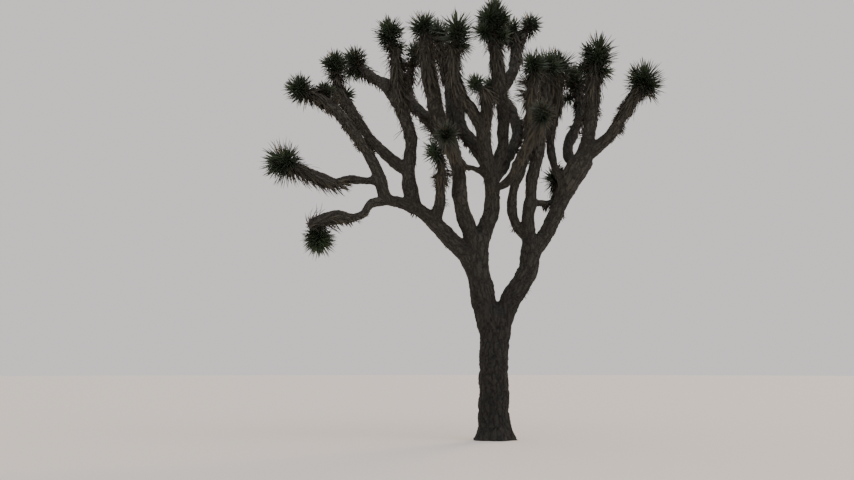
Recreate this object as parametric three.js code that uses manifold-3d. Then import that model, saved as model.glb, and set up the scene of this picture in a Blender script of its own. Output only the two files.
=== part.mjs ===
// A whole joshua tree as separate solids: the trunk, its two stems, the boughs, and the masses
// of dagger leaves that end them. Millimetres, +Z up, and the origin is the middle of the flat
// cut under the trunk. Needs the npm packages three and manifold-3d.
import * as THREE from 'three';
import Module from 'manifold-3d';

const wasm = await Module();
wasm.setup();

// Driving dimensions
const TRUNK_RADIUS = 230;
const FLARE = 105; // how far the root flare stands out at the ground
const FLARE_HEIGHT = 160;
const FLARE_LOBES = 5; // the main roots that the flare runs out to
const FORK_HEIGHT = 1860;
const FORK_TOP = 2130; // the crotch between the two stems
const FORK_SPREAD = 36; // the trunk widens by this below the fork
const SPREAD_FROM = 1400; // the height where it starts to widen
const CROTCH_SHARE = 0.38; // what is left of the trunk's width at the crotch
const LEAN = 26; // to the right at the fork
const LEAN_FROM = 900; // the height where it starts to lean
const TRUNK_RINGS = [0, 90, 220, 420, 800, 1200, 1500, 1700, FORK_HEIGHT, 2010, FORK_TOP];
const TRUNK_SIDES = 14;
const LIMB_SIDES = 8;
const RING_STEP = 330; // between two rings of a bough
const TIP_LENGTH = 0.5; // of a bough's rounded tip, as a share of its radius
const TIP_WIDTH = 0.65;
const SWELL_FROM = 0.4; // where along a bough its swell starts, and where it is full
const SWELL_FULL = 0.8;
const LEAF_FRINGE = 50; // a mass reaches this far past its dense core, to the leaf tips
const MASS_SIDES = 8;
const MASS_RINGS = [-0.95, -0.6, -0.05, 0.5, 0.92]; // from where the bough enters to the far end
const LONG_MASS_RINGS = [-0.96, -0.7, -0.3, 0.15, 0.55, 0.92];
const LONG_MASS = 1.3; // a mass this much longer than wide takes the long rings
const TOP_HEAVY = 0.06; // a mass is this much fuller at its far end
const UNEVEN = 0.1; // share of a mass's radius that its outline wanders by
const GAP = 0.3; // left between solids that touch

// Where each place is said from: a point far in front of the tree. ACROSS and UP are measured in
// the upright plane through the trunk, and BACK moves the place away along the same line of
// sight, so a nearer or further bough keeps the outline that the tree has from there.
const EYE = { across: -1005, back: -18006, up: 1164.5 };

// Stems and boughs, each from the one that carries it. radius is at the start and the end, swell
// is what its last stretch gains where dead leaves clothe it or where it forks, and path is
// [across, up, back] along the middle.
const STEMS = [
  { name: 'stem_left', on: 'trunk', radius: [178, 181],
    path: [[-80, 1720, 0], [-170, 2180, -30], [-230, 2560, -50], [-230, 3020, -80]] },
  { name: 'stem_right', on: 'trunk', radius: [156, 160],
    path: [[100, 1680, 0], [210, 1960, 15], [350, 2220, 30], [460, 2420, 40], [540, 2620, 50],
      [600, 2980, 60]] },
];
const BOUGHS = [
  { name: 'bough_outer_left', on: 'stem_left', radius: [156, 80],
    path: [[-230, 2480, -60], [-410, 2790, -80], [-620, 3000, -110], [-870, 3260, -170],
      [-1140, 3480, -250], [-1420, 3590, -330], [-1660, 3630, -400]] },
  { name: 'bough_left_rising', on: 'bough_outer_left', radius: [100, 76], swell: 6,
    path: [[-1630, 3620, -390], [-1730, 3940, -420], [-1850, 4250, -430], [-2060, 4560, -400],
      [-2300, 4915, -360], [-2530, 5125, -330], [-2790, 5290, -300]] },
  { name: 'bough_far_left', on: 'bough_left_rising', radius: [69, 52], swell: 54,
    path: [[-1760, 3930, -420], [-2030, 3935, -430], [-2220, 3955, -440], [-2420, 3895, -460],
      [-2620, 3950, -480], [-3030, 4130, -500]] },
  { name: 'bough_low_left', on: 'bough_outer_left', radius: [72, 58], swell: 62,
    path: [[-1600, 3620, -400], [-1860, 3580, -500], [-1970, 3430, -560], [-2130, 3350, -630],
      [-2330, 3370, -720], [-2560, 3330, -820], [-2730, 3250, -880]] },
  { name: 'bough_left_upright', on: 'bough_outer_left', radius: [126, 48], swell: 48,
    path: [[-1190, 3480, -250], [-1280, 3905, -270], [-1270, 4280, -250], [-1250, 4600, -220],
      [-1340, 4880, -200], [-1440, 5270, -200], [-1500, 5950, -200]] },
  { name: 'bough_left_crossing', on: 'bough_left_upright', radius: [102, 42], swell: 38,
    path: [[-1280, 4060, -270], [-1540, 4250, -150], [-1815, 4520, 0], [-2055, 4830, 120],
      [-2210, 5080, 200], [-2360, 5320, 260], [-2410, 5600, 300]] },
  { name: 'bough_left_side', on: 'bough_left_upright', radius: [134, 58],
    path: [[-1440, 5180, -200], [-1610, 5395, 50], [-1785, 5500, 350], [-2050, 5700, 610]] },
  { name: 'bough_inner_left', on: 'bough_outer_left', radius: [102, 34], swell: 10,
    path: [[-888, 3290, -170], [-815, 3560, -300], [-795, 3820, -500], [-785, 4070, -700],
      [-800, 4250, -820]] },
  { name: 'bough_left_centre', on: 'stem_left', radius: [126, 93], swell: 30,
    path: [[-280, 2960, -90], [-440, 3400, -160], [-510, 3710, -220], [-515, 4020, -280],
      [-570, 4310, -320], [-700, 4630, -400], [-850, 4970, -460], [-900, 5270, -490],
      [-975, 5580, -530], [-1020, 6120, -600]] },
  { name: 'bough_left_back', on: 'bough_left_centre', radius: [138, 50],
    path: [[-660, 4480, -360], [-800, 4700, -260], [-1000, 4900, 0], [-1210, 5100, 450], [-1310, 5330, 800],
      [-1250, 5700, 1050]] },
  { name: 'bough_centre', on: 'stem_left', radius: [140, 80],
    path: [[-205, 2960, -40], [-40, 3400, 0], [5, 3760, -30], [-50, 4070, -100],
      [-110, 4410, -280], [-110, 4720, -500], [-80, 5070, -720], [-130, 5330, -860]] },
  { name: 'bough_centre_inner', on: 'bough_centre', radius: [118, 72], swell: 24,
    path: [[-100, 4240, -120], [-290, 4512, 50], [-465, 4722, 180], [-520, 5020, 300],
      [-555, 5350, 380], [-610, 5630, 450], [-790, 6010, 500]] },
  { name: 'bough_centre_front', on: 'bough_centre', radius: [98, 80], swell: 22,
    path: [[-80, 4020, -150], [-135, 4420, -360], [-185, 4740, -560], [-305, 5000, -700],
      [-470, 5240, -800], [-580, 5540, -880], [-610, 5980, -970]] },
  { name: 'bough_middle', on: 'bough_centre', radius: [100, 82], swell: 28,
    path: [[-20, 3980, -70], [150, 4440, 50], [170, 4800, 30], [150, 5190, 0], [110, 5510, -30],
      [40, 6080, -80]] },
  { name: 'bough_middle_fork', on: 'bough_middle', radius: [92, 80],
    path: [[150, 5320, 0], [330, 5660, 300], [390, 5950, 550], [340, 6190, 660]] },
  { name: 'bough_middle_spur', on: 'bough_middle_fork', radius: [52, 46],
    path: [[380, 5930, 540], [460, 6140, 760], [560, 6290, 900]] },
  { name: 'bough_back_middle', on: 'bough_centre', radius: [100, 72],
    path: [[-20, 3880, -50], [160, 4158, 220], [304, 4416, 500], [388, 4692, 850],
      [290, 5030, 1200], [130, 5250, 1440]] },
  { name: 'bough_front_right', on: 'bough_centre', radius: [66, 74], swell: 10,
    path: [[10, 3780, -40], [250, 3930, -280], [390, 4190, -620], [520, 4440, -950],
      [640, 4660, -1250], [760, 4870, -1500]] },
  { name: 'bough_front_middle', on: 'stem_right', radius: [74, 76], swell: 14,
    path: [[540, 3000, 60], [345, 3270, 80], [288, 3510, 60], [318, 3790, 20], [428, 4092, -60],
      [531, 4404, -180], [580, 4850, -380], [600, 5190, -560], [650, 5600, -720]] },
  { name: 'bough_right_centre', on: 'stem_right', radius: [102, 86], swell: 24,
    path: [[560, 2930, 50], [545, 3320, 30], [585, 3630, 0], [605, 3940, -30],
      [670, 4210, -60], [715, 4490, -80], [770, 4910, -60], [830, 5270, -30], [850, 5560, 0]] },
  { name: 'bough_right_spur', on: 'bough_right_centre', radius: [50, 44],
    path: [[590, 3590, 0], [800, 3585, 190], [955, 3645, 350], [960, 3880, 460]] },
  { name: 'bough_right', on: 'stem_right', radius: [122, 110], swell: 70,
    path: [[675, 2900, 50], [850, 3165, 60], [990, 3460, 70], [1080, 3680, 80],
      [1180, 3910, 80], [1280, 4090, 80], [1370, 4230, 80]] },
  { name: 'bough_right_inner', on: 'bough_right', radius: [70, 66], swell: 18,
    path: [[1080, 3860, 80], [940, 4210, 180], [900, 4490, 250], [920, 4750, 300],
      [990, 5100, 360], [1030, 5560, 400]] },
  { name: 'bough_right_back', on: 'bough_right', radius: [88, 78],
    path: [[1250, 4130, 100], [1160, 4410, 350], [1245, 4665, 600], [1355, 4905, 850],
      [1370, 5160, 1100], [1310, 5380, 1250]] },
  { name: 'bough_right_tall', on: 'bough_right', radius: [116, 92], swell: 24,
    path: [[1340, 4240, 80], [1460, 4530, 60], [1510, 4800, 40], [1540, 5100, 20],
      [1555, 5410, 0], [1610, 5690, 0]] },
  { name: 'bough_far_right', on: 'bough_right', radius: [100, 84], swell: 14,
    path: [[1350, 4230, 80], [1625, 4465, 0], [1850, 4675, -100], [2010, 4930, -180],
      [2140, 5160, -240], [2300, 5390, -290]] },
  { name: 'bough_front_left', on: 'bough_centre', radius: [46, 66], swell: 14,
    path: [[-60, 3968, -110], [-250, 4101, -230], [-400, 4155, -430], [-520, 4260, -740],
      [-610, 4400, -1090], [-690, 4580, -1450]] },
  { name: 'bough_back_left', on: 'bough_left_centre', radius: [84, 68], swell: 14,
    path: [[-550, 4130, -290], [-620, 4560, 200], [-640, 4960, 650], [-655, 5350, 1100],
      [-740, 5810, 1450]] },
  { name: 'bough_back_right', on: 'bough_right_centre', radius: [80, 68], swell: 14,
    path: [[590, 3560, 0], [610, 3940, 500], [690, 4330, 950], [770, 4750, 1350],
      [830, 5150, 1650]] },
];

// Masses of leaves. at is the middle, and radius is the dense core's. tall stretches the mass
// along the bough that it ends, or along lean, and taper narrows it that way.
const MASSES = [
  { name: 'leaves_far_left', on: 'bough_far_left', at: [-3225, 4220, -500], radius: 212 },
  { name: 'leaves_low_left', on: 'bough_low_left', at: [-2655, 3025, -900], radius: 192,
    tall: 1.1, lean: [0.1, -0.2, -1] },
  { name: 'leaves_left_rising', on: 'bough_left_rising', at: [-2960, 5345, -300], radius: 178 },
  { name: 'leaves_left_crossing', on: 'bough_left_crossing', at: [-2420, 5715, 300], radius: 155,
    tall: 1.3 },
  { name: 'leaves_left_side', on: 'bough_left_side', at: [-2125, 5815, 650], radius: 150 },
  { name: 'leaves_left_low', on: 'bough_left_rising', at: [-2565, 5305, -150], radius: 130,
    lean: [0.45, 0.67, 0.62] },
  { name: 'leaves_left_upright', on: 'bough_left_upright', at: [-1580, 6205, -200], radius: 155,
    tall: 1.5 },
  { name: 'leaves_left_back', on: 'bough_left_back', at: [-1185, 5910, 1080], radius: 82,
    tall: 1.9 },
  { name: 'leaves_left_centre', on: 'bough_left_centre', at: [-1060, 6340, -620], radius: 160 },
  { name: 'leaves_centre_inner', on: 'bough_centre_inner', at: [-815, 6220, 500], radius: 135 },
  { name: 'leaves_centre_front', on: 'bough_centre_front', at: [-535, 6235, -1000], radius: 140,
    tall: 1.6 },
  { name: 'leaves_centre', on: 'bough_centre', at: [-240, 5440, -900], radius: 112 },
  { name: 'leaves_middle', on: 'bough_middle', at: [30, 6450, -100], radius: 236, tall: 1.35,
    taper: 0.45, lean: [0.1, 0, 1] },
  { name: 'leaves_middle_fork', on: 'bough_middle_fork', at: [260, 6255, 700], radius: 132,
    tall: 1.3 },
  { name: 'leaves_middle_spur', on: 'bough_middle_spur', at: [600, 6380, 950], radius: 102 },
  { name: 'leaves_front_middle', on: 'bough_front_middle', at: [665, 5735, -760], radius: 158 },
  { name: 'leaves_right_centre', on: 'bough_right_centre', at: [860, 5715, 0], radius: 155 },
  { name: 'leaves_right_inner', on: 'bough_right_inner', at: [1035, 5725, 420], radius: 152 },
  { name: 'leaves_right_back', on: 'bough_right_back', at: [1285, 5490, 1300], radius: 140,
    tall: 1.4 },
  { name: 'leaves_right_tall', on: 'bough_right_tall', at: [1640, 5845, 0], radius: 176,
    tall: 1.55 },
  { name: 'leaves_far_right', on: 'bough_far_right', at: [2365, 5490, -300], radius: 208,
    tall: 1.06, lean: [0.08, 0, 1] },
  { name: 'leaves_inner_left', on: 'bough_inner_left', at: [-855, 4350, -860], radius: 115,
    lean: [-1, 0, 0.45] },
  { name: 'leaves_right_spur', on: 'bough_right_spur', at: [935, 3970, 480], radius: 90,
    lean: [-1, 0, 0.7] },
  { name: 'leaves_front_left', on: 'bough_front_left', at: [-710, 4680, -1540], radius: 145,
    lean: [0, -0.3, 1] },
  { name: 'leaves_front_right', on: 'bough_front_right', at: [770, 4990, -1600], radius: 160,
    lean: [0, -0.3, 1] },
  { name: 'leaves_back_left', on: 'bough_back_left', at: [-750, 5920, 1500], radius: 150 },
  { name: 'leaves_back_middle', on: 'bough_back_middle', at: [55, 5360, 1520], radius: 152 },
  { name: 'leaves_back_right', on: 'bough_back_right', at: [840, 5270, 1700], radius: 152 },
];

const bark = new THREE.MeshStandardMaterial({ color: 0x4b423a, roughness: 0.9, metalness: 0 });
const foliage = new THREE.MeshStandardMaterial({ color: 0x46533a, roughness: 0.75, metalness: 0 });

// A place in the tree from how it is seen: further back means further along the line of sight.
function place([across, up, back]) {
  const stretch = 1 - back / EYE.back;
  return new THREE.Vector3(
    EYE.across + (across - EYE.across) * stretch,
    back,
    EYE.up + (up - EYE.up) * stretch,
  );
}

// The same wandering number between -1 and 1 for the same two counts.
function wander(i, j) {
  const s = Math.sin(i * 12.9898 + j * 78.233) * 43758.5453;
  return 2 * (s - Math.floor(s)) - 1;
}

// A closed skin over rings of points, with a fan over each end.
function skin(rings) {
  const sides = rings[0].length;
  const centre = (ring) => ring
    .reduce((sum, p) => sum.add(p), new THREE.Vector3())
    .divideScalar(ring.length);
  const points = [...rings.flat(), centre(rings[0]), centre(rings.at(-1))];
  const first = points.length - 2;
  const last = points.length - 1;
  const faces = [];
  for (let r = 0; r < rings.length - 1; r++) {
    for (let s = 0; s < sides; s++) {
      const a = r * sides + s;
      const b = r * sides + ((s + 1) % sides);
      faces.push(a, b, b + sides, a, b + sides, a + sides);
    }
  }
  const top = (rings.length - 1) * sides;
  for (let s = 0; s < sides; s++) {
    const next = (s + 1) % sides;
    faces.push(first, next, s, last, top + s, top + next);
  }
  return new wasm.Manifold(new wasm.Mesh({
    numProp: 3,
    vertProperties: new Float32Array(points.flatMap((p) => p.toArray())),
    triVerts: new Uint32Array(faces),
  }));
}

// A ring of points round a centre, square to a direction, turned along with the one before.
function ring(centre, direction, side, radiusAt, sides) {
  const other = new THREE.Vector3().crossVectors(direction, side);
  return Array.from({ length: sides }, (_, s) => {
    const angle = (s / sides) * 2 * Math.PI;
    const r = radiusAt(angle);
    return centre.clone()
      .addScaledVector(side, Math.cos(angle) * r)
      .addScaledVector(other, Math.sin(angle) * r);
  });
}

// A bough: one tapering limb along a smooth curve, with a rounded tip. A grown one stands out by
// grow all round.
function limb({ radius: [start, end], swell = 0, path }, grow = 0) {
  const curve = new THREE.CatmullRomCurve3(path.map(place), false, 'catmullrom', 0.5);
  const steps = Math.max(3, Math.round(curve.getLength() / RING_STEP));
  const rings = [];
  let side = new THREE.Vector3(0, 1, 0);
  for (let i = 0; i <= steps; i++) {
    const along = i / steps;
    const direction = curve.getTangent(along);
    const past = i === 0 ? -grow : grow * (i === steps);
    const centre = curve.getPoint(along).addScaledVector(direction, past);
    side = side.clone().addScaledVector(direction, -side.dot(direction)).normalize();
    const stretch = 1 - centre.y / EYE.back;
    const gain = swell * THREE.MathUtils.smoothstep(along, SWELL_FROM, SWELL_FULL);
    const r = (THREE.MathUtils.lerp(start, end, along) + gain) * stretch + grow;
    rings.push(ring(centre, direction, side, () => r, LIMB_SIDES));
    if (i === steps) {
      const tip = centre.clone().addScaledVector(direction, r * TIP_LENGTH);
      rings.push(ring(tip, direction, side, () => r * TIP_WIDTH, LIMB_SIDES));
    }
  }
  return skin(rings);
}

// The trunk, from its flat cut at the ground through the root flare to the fork.
function trunk(grow = 0) {
  const { smoothstep } = THREE.MathUtils;
  const rings = TRUNK_RINGS.map((z) => {
    const flare = FLARE * Math.exp(-z / FLARE_HEIGHT);
    const spread = FORK_SPREAD * smoothstep(z, SPREAD_FROM, FORK_HEIGHT);
    const rounding = 1 - (1 - CROTCH_SHARE) * smoothstep(z, FORK_HEIGHT, FORK_TOP);
    const centre = new THREE.Vector3(LEAN * smoothstep(z, LEAN_FROM, FORK_HEIGHT), 0, z);
    const lobes = (angle) => 1 + 0.3 * Math.cos(FLARE_LOBES * angle + 0.6);
    const radiusAt = (angle) => (TRUNK_RADIUS + spread) * rounding + flare * lobes(angle) + grow;
    return ring(centre, new THREE.Vector3(0, 0, 1), new THREE.Vector3(1, 0, 0), radiusAt,
      TRUNK_SIDES);
  });
  return skin(rings);
}

// A mass of leaves: uneven, fullest above its middle, and narrow where the bough enters it.
function mass({ at, radius, tall = 1, taper = 0, lean }, bearer, index, grow = 0) {
  const outer = (radius + LEAF_FRINGE) * (1 - at[2] / EYE.back) + grow;
  const last = bearer.path.map(place).slice(-2);
  const direction = lean ? new THREE.Vector3(...lean) : last[1].clone().sub(last[0]);
  direction.normalize();
  const side = new THREE.Vector3(0, 1, 0);
  side.addScaledVector(direction, -side.dot(direction)).normalize();
  const levels = tall > LONG_MASS ? LONG_MASS_RINGS : MASS_RINGS;
  const rings = levels.map((level, i) => {
    const centre = place(at).addScaledVector(direction, level * outer * tall);
    const narrowing = 1 - taper * (level + 1) / 2 + TOP_HEAVY * level;
    const width = outer * Math.sqrt(1 - level * level) * narrowing;
    const wave = (angle) => UNEVEN * Math.cos(2 * angle + index + i) * wander(index, i);
    return ring(centre, direction, side, (angle) => width * (1 + wave(angle)), MASS_SIDES);
  });
  return skin(rings);
}

// What is left of a solid once its neighbours have taken their room, as its largest piece.
function clearOf(solid, neighbours) {
  const box = solid.boundingBox();
  let rest = solid;
  for (const other of neighbours) {
    const near = other.boundingBox();
    const apart = [0, 1, 2].some((k) => box.min[k] > near.max[k] || box.max[k] < near.min[k]);
    if (!apart) rest = rest.subtract(other);
  }
  const pieces = rest.decompose().sort((a, b) => b.volume() - a.volume());
  return pieces[0];
}

function meshOf(solid, name, material) {
  const { vertProperties, triVerts } = solid.getMesh();
  const geometry = new THREE.BufferGeometry();
  geometry.setAttribute('position', new THREE.BufferAttribute(vertProperties, 3));
  geometry.setIndex(new THREE.BufferAttribute(triVerts, 1));
  geometry.computeVertexNormals();
  const mesh = new THREE.Mesh(geometry, material.clone());
  mesh.name = name;
  return mesh;
}

const group = new THREE.Group();
const taken = [trunk(GAP)]; // the room of each solid so far, grown by the gap
group.add(meshOf(trunk(), 'trunk', bark));

const limbs = [...STEMS, ...BOUGHS];
const bearerOf = (row) => limbs.find((one) => one.name === row.on);

for (const row of limbs) {
  const ends = MASSES.flatMap((head, i) => (head.on === row.name
    ? [mass(head, row, i, GAP)]
    : []));
  const solid = clearOf(limb(row), [...taken, ...ends]);
  taken.push(limb(row, GAP));
  group.add(meshOf(solid, row.name, bark));
}

MASSES.forEach((head, i) => {
  const bearer = bearerOf(head);
  const others = taken.filter((_, k) => k === 0 || limbs[k - 1] !== bearer || k > limbs.length);
  const solid = clearOf(mass(head, bearer, i), others);
  taken.push(mass(head, bearer, i, GAP));
  group.add(meshOf(solid, head.name, foliage));
});

export default group;
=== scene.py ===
import math
import bmesh
import bpy
import numpy as np
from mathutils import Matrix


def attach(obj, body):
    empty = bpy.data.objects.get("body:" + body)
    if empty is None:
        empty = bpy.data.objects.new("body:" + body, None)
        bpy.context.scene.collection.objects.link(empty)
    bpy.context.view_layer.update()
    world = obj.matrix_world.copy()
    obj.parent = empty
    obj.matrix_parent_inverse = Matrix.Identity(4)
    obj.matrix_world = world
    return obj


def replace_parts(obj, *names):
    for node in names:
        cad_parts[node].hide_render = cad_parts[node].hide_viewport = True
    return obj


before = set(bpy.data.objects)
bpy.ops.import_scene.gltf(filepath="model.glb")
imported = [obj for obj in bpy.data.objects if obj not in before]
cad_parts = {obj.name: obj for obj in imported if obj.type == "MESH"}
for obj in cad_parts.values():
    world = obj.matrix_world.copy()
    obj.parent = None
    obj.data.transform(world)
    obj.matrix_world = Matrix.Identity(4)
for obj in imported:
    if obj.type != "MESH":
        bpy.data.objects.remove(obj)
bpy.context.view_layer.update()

print("frame loaded:", len(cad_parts), "solids")


def linear(hexColour):
    parts = [int(hexColour[i:i + 2], 16) / 255 for i in (1, 3, 5)]
    return [*(p / 12.92 if p <= 0.04045 else ((p + 0.055) / 1.055) ** 2.4 for p in parts), 1]


def smoothstep(values, low, high):
    share = np.clip((values - low) / (high - low), 0, 1)
    return share * share * (3 - 2 * share)


def unit(vectors):
    return vectors / np.linalg.norm(vectors, axis=-1, keepdims=True)


def addNode(tree, kind, settings={}, sockets={}):
    # each of its sockets gets a value, or the output that feeds it
    node = tree.nodes.new(kind)
    for name, value in settings.items():
        setattr(node, name, value)
    for name, value in sockets.items():
        if isinstance(value, bpy.types.NodeSocket):
            tree.links.new(value, node.inputs[name])
        else:
            node.inputs[name].default_value = value
    return node


def newMaterial(name, colour, roughness):
    material = bpy.data.materials.new(name)
    material.use_nodes = True
    tree = material.node_tree
    shader = tree.nodes["Principled BSDF"]
    shader.inputs["Base Color"].default_value = linear(colour)
    shader.inputs["Roughness"].default_value = roughness
    return material, tree, shader


def addObject(name, data):
    made = bpy.data.objects.new(name, data)
    bpy.context.scene.collection.objects.link(made)
    return made


def addPiece(name, mesh):
    piece = addObject(name, mesh)
    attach(piece, "root")
    print(name, len(mesh.polygons), "faces")
    return piece


def meshFrom(name, points, faces):
    mesh = bpy.data.meshes.new(name)
    mesh.from_pydata(points.tolist(), [], faces.tolist())
    return mesh


def joinParts(parts):
    # the points and faces of many parts as one
    counts = [len(part[0]) for part in parts]
    starts = np.cumsum([0] + counts)
    points = np.concatenate([part[0] for part in parts])
    faces = np.concatenate([part[1] + start for part, start in zip(parts, starts)])
    return points, faces


def pointsOf(mesh):
    points = np.empty(len(mesh.vertices) * 3, np.float32)
    mesh.vertices.foreach_get("co", points)
    return points.reshape(-1, 3)


def addAttribute(mesh, name, kind, values):
    attribute = mesh.attributes.new(name, kind, "POINT")
    attribute.data.foreach_set("vector" if kind == "FLOAT_VECTOR" else "value", values.ravel())


def evaluated(piece):
    # the mesh that an object's modifiers make of it, in place of the object
    depsgraph = bpy.context.evaluated_depsgraph_get()
    mesh = bpy.data.meshes.new_from_object(piece.evaluated_get(depsgraph))
    bpy.data.objects.remove(piece)
    return mesh


# The camera stands where the photograph was taken from, low over the ground, and looks up a little
photoCamera = {
    "across": -1.005,
    "back": -18.006,
    "up": 1.1645,
    "pitch": 5.87,  # degrees above level
    "lens": 50,
    "sensor": 36,
    "farthest": 400,
}


def addCamera():
    data = bpy.data.cameras.new("photoCamera")
    data.lens = photoCamera["lens"]
    data.sensor_width = photoCamera["sensor"]
    data.clip_end = photoCamera["farthest"]
    camera = addObject("photoCamera", data)
    camera.location = (photoCamera["across"], photoCamera["back"], photoCamera["up"])
    camera.rotation_euler = (math.radians(90 + photoCamera["pitch"]), 0, 0)
    bpy.context.scene.camera = camera


def stretchAt(back):
    # how much larger a thing is made so far behind the trunk, to look the same from the camera
    return 1 - back / photoCamera["back"]


def place(across, up, back):
    # The tables say each place as it is seen from the camera: across and up in the upright plane
    # through the trunk, and how far back it lies on the same line of sight.
    stretch = stretchAt(back)
    return np.array([
        photoCamera["across"] + (across - photoCamera["across"]) * stretch,
        back,
        photoCamera["up"] + (up - photoCamera["up"]) * stretch,
    ])


# Pale matt floor, pale air and two broad, far lamps: a warm one low behind, and a cool one in front
studio = {
    "floorRadius": 90,
    "floorSides": 64,
    "floor": "#e9e5df",
    "floorRoughness": 0.9,
    "air": "#e6e2e0",
    "airStrength": 1.05,
    "lamps": {  # each by its compass turn from the camera's line, its height, and its breadth, in degrees
        "warmBehind": {"turn": -28, "height": 24, "breadth": 24, "power": 1.5, "colour": "#ffcfa0"},
        "coolFront": {"turn": 215, "height": 48, "breadth": 60, "power": 0.7, "colour": "#eef1ff"},
    },
}


def addStudio():
    world = bpy.data.worlds.new("paleAir")
    world.use_nodes = True
    bpy.context.scene.world = world
    background = world.node_tree.nodes["Background"]
    background.inputs["Color"].default_value = linear(studio["air"])
    background.inputs["Strength"].default_value = studio["airStrength"]
    turns = np.linspace(0, 2 * math.pi, studio["floorSides"], endpoint=False)
    rim = np.stack([np.cos(turns), np.sin(turns), 0 * turns], 1) * studio["floorRadius"]
    floor = addObject("studioFloor", meshFrom("studioFloor", rim, np.arange(len(rim))[None]))
    floor.data.materials.append(newMaterial("paintedFloor", studio["floor"], studio["floorRoughness"])[0])
    for name, lamp in studio["lamps"].items():
        data = bpy.data.lights.new(name, "SUN")
        data.angle = math.radians(lamp["breadth"])
        data.energy = lamp["power"]
        data.color = linear(lamp["colour"])[:3]
        light = addObject(name, data)
        light.rotation_euler = (math.radians(lamp["height"] - 90), 0, math.radians(lamp["turn"]))


# The trunk: its foot flares out in lobes, and higher up it leans, widens and flattens towards the fork
trunk = {
    "radius": 0.23,
    "flare": 0.105,  # what its radius gains at the ground
    "flareHeight": 0.16,  # the height at which about a third of the flare is left
    "flareLobes": 5,
    "lobeDepth": 0.3,  # share of the flare
    "lobeTurn": 0.6,
    "forkHeight": 1.86,
    "forkTop": 2.13,  # the end of its rounded top, which lies inside the stems
    "topShare": 0.38,  # share of its radius that is left there
    "forkSpread": 0.036,  # what its radius gains at the fork
    "spreadFrom": 1.4,
    "forkFlat": 0.3,  # how much less deep than wide it is at the fork, with a stem on each side
    "flatFrom": 0.9,
    "lean": 0.026,
    "leanFrom": 0.9,
    "below": 0.06,  # made this much too long, and sawn off flat at the ground
}
# Webs along the inner edges of the two stems, which bring them together in a sharp fork
crotch = {
    "radius": 0.06,
    "depth": 2,  # how much deeper than wide they are
    "webs": (
        ((0, 1.95, 0), (-0.012, 2.138, 0), (-0.093, 2.45, 0), (-0.18, 2.65, 0)),
        ((0.13, 1.95, 0), (0.151, 2.124, 0), (0.286, 2.314, 0), (0.43, 2.5, 0)),
    ),
}

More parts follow.
